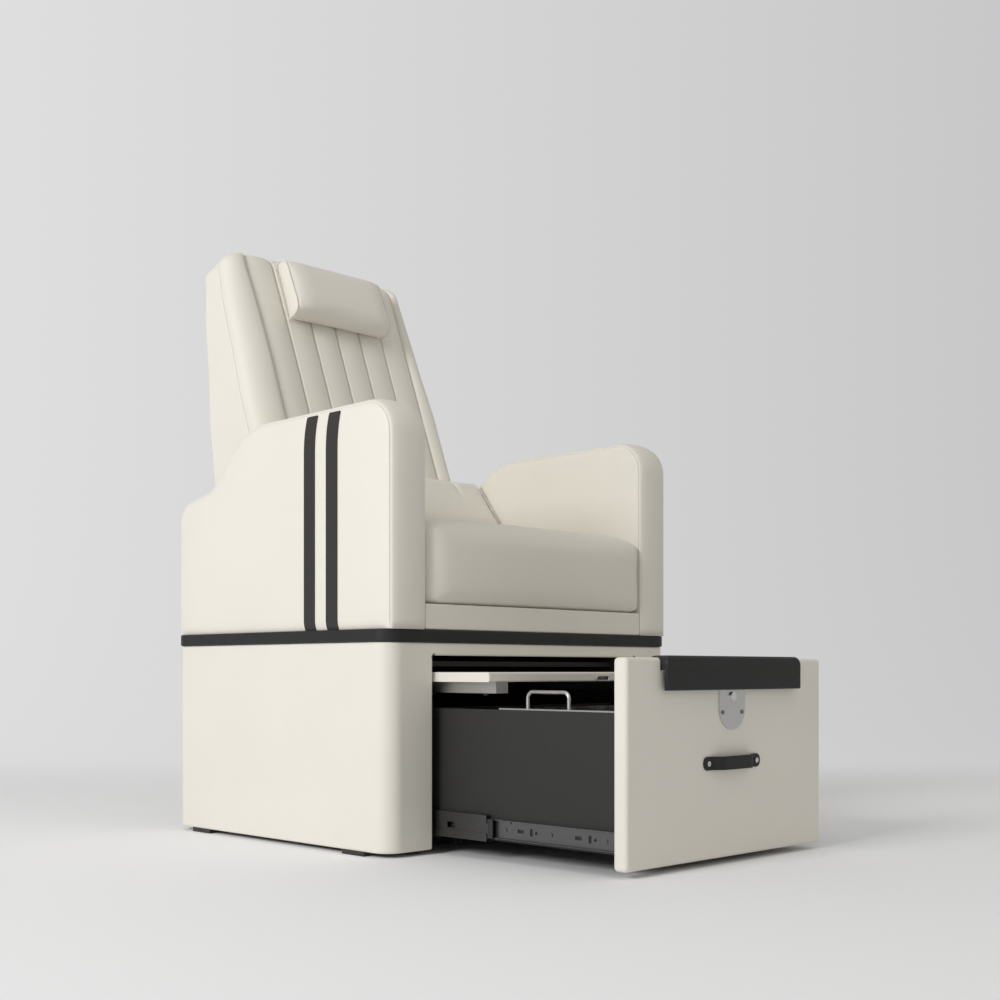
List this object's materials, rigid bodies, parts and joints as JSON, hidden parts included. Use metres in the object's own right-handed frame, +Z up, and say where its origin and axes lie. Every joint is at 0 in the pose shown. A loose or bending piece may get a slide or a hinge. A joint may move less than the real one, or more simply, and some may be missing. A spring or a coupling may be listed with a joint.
{
  "type": "pedicure bench",
  "caption": "Upholstered pedicure armchair on a hollow base with a roll-out foot-bath drawer, lift-out steel basin, raising footrest and sliding shelf.",
  "frame": {"origin": "middle of the footprint of the whole model with the drawer pulled out, at floor level", "axes": "+Z up, the sitter faces -Y, +X to the sitter's left, across the width"},
  "size_m": [0.766, 1.1989, 1.1947],
  "materials": {
    "cream_wrapped_board": "board wrapped in cream faux leather",
    "black_wrapped_board": "board wrapped in black faux leather",
    "dark_board": "matt dark laminate",
    "plywood": "bare plywood",
    "webbing": "woven elastic band",
    "cream_cushion_cover": "cream faux leather over foam",
    "cream_faux_leather": "cream faux leather, satin",
    "black_faux_leather": "black faux leather, satin",
    "brushed_steel": "brushed",
    "zinc_steel": "zinc plated",
    "black_steel": "black powder coat",
    "black_plastic": "matt",
    "black_rubber": "matt"
  },
  "bodies": {
    "chair": {"base_side_left": "cream_wrapped_board", "base_side_right": "cream_wrapped_board", "base_front_header": "cream_wrapped_board", "base_rear_panel": "cream_wrapped_board", "carcass_side_left": "dark_board", "carcass_side_right": "dark_board", "carcass_rails": "dark_board", "base_glides": "black_plastic", "belt_board": "black_wrapped_board", "seat_rails": "plywood", "seat_front_rail": "cream_wrapped_board", "seat_webbing": "webbing", "seat_cushion": "cream_cushion_cover", "arm_left": "cream_faux_leather", "arm_right": "cream_faux_leather", "arm_left_facing": "cream_faux_leather", "arm_right_facing": "cream_faux_leather", "arm_frames": "plywood", "arm_left_stripes": "black_faux_leather", "arm_right_stripes": "black_faux_leather", "body_rear_panel": "cream_wrapped_board", "recline_brackets": "black_steel", "recline_pins": "zinc_steel", "slide_fixed_left": "zinc_steel", "slide_fixed_right": "zinc_steel", "shelf_rails": "zinc_steel"},
    "backrest": {"back_shell": "cream_cushion_cover", "back_frame": "black_steel", "back_pad": "cream_cushion_cover", "lumbar_cushion": "cream_cushion_cover", "head_cushion": "cream_cushion_cover", "recline_tabs": "black_steel"},
    "drawer": {"drawer_front": "cream_wrapped_board", "drawer_side_left": "dark_board", "drawer_side_right": "dark_board", "drawer_back": "dark_board", "drawer_bottom": "dark_board", "drawer_divider": "dark_board", "slide_inner_left": "zinc_steel", "slide_inner_right": "zinc_steel", "slide_screws": "brushed_steel", "strap_handle": "black_faux_leather", "strap_studs": "brushed_steel", "footrest_guide": "black_steel", "latch_plate": "brushed_steel", "plate_screws": "brushed_steel"},
    "footrest": {"footrest_pad": "black_faux_leather", "footrest_post": "black_steel"},
    "lock_button": {"lock_button": "brushed_steel", "button_spring": "zinc_steel"},
    "basin": {"foot_basin": "brushed_steel", "basin_handles": "brushed_steel"},
    "slide_middles": {"slide_middle_left": "zinc_steel", "slide_middle_right": "zinc_steel", "slide_balls": "zinc_steel", "slide_catches": "black_plastic"},
    "shelf": {"shelf_board": "cream_wrapped_board", "shelf_pull": "brushed_steel", "shelf_runners": "zinc_steel", "shelf_bumpers": "black_rubber"}
  },
  "joints": [
    {"name": "drawer_slide", "type": "slide", "parent": "chair", "child": "drawer", "axis": [0, -1, 0], "range_m": [-0.4285, 0]},
    {"name": "slide_middle_slide", "type": "slide", "parent": "chair", "child": "slide_middles", "axis": [0, -1, 0], "range_m": [-0.179, 0]},
    {"name": "shelf_slide", "type": "slide", "parent": "chair", "child": "shelf", "axis": [0, -1, 0], "range_m": [-0.162, 0]},
    {"name": "basin_lift", "type": "slide", "parent": "drawer", "child": "basin", "axis": [0, 0, 1], "range_m": [0, 0.25]},
    {"name": "footrest_lift", "type": "slide", "parent": "drawer", "child": "footrest", "axis": [0, 0, 1], "range_m": [0, 0.1]},
    {"name": "lock_button_press", "type": "slide", "parent": "drawer", "child": "lock_button", "axis": [0, 1, 0], "range_m": [0, 0.003], "stiffness_N_per_m": 600, "springref_m": -0.002, "deforming": ["button_spring"]},
    {"name": "backrest_recline", "type": "hinge", "parent": "chair", "child": "backrest", "pos_m": [0, 0.40404, 0.47], "axis": [-1, 0, 0], "range_deg": [0, 12]}
  ],
  "couplings": [
    {"joint": "slide_middle_slide", "follows": "drawer_slide", "ratio": 0.4177},
    {"joint": "shelf_slide", "follows": "drawer_slide", "ratio": 0.378}
  ]
}
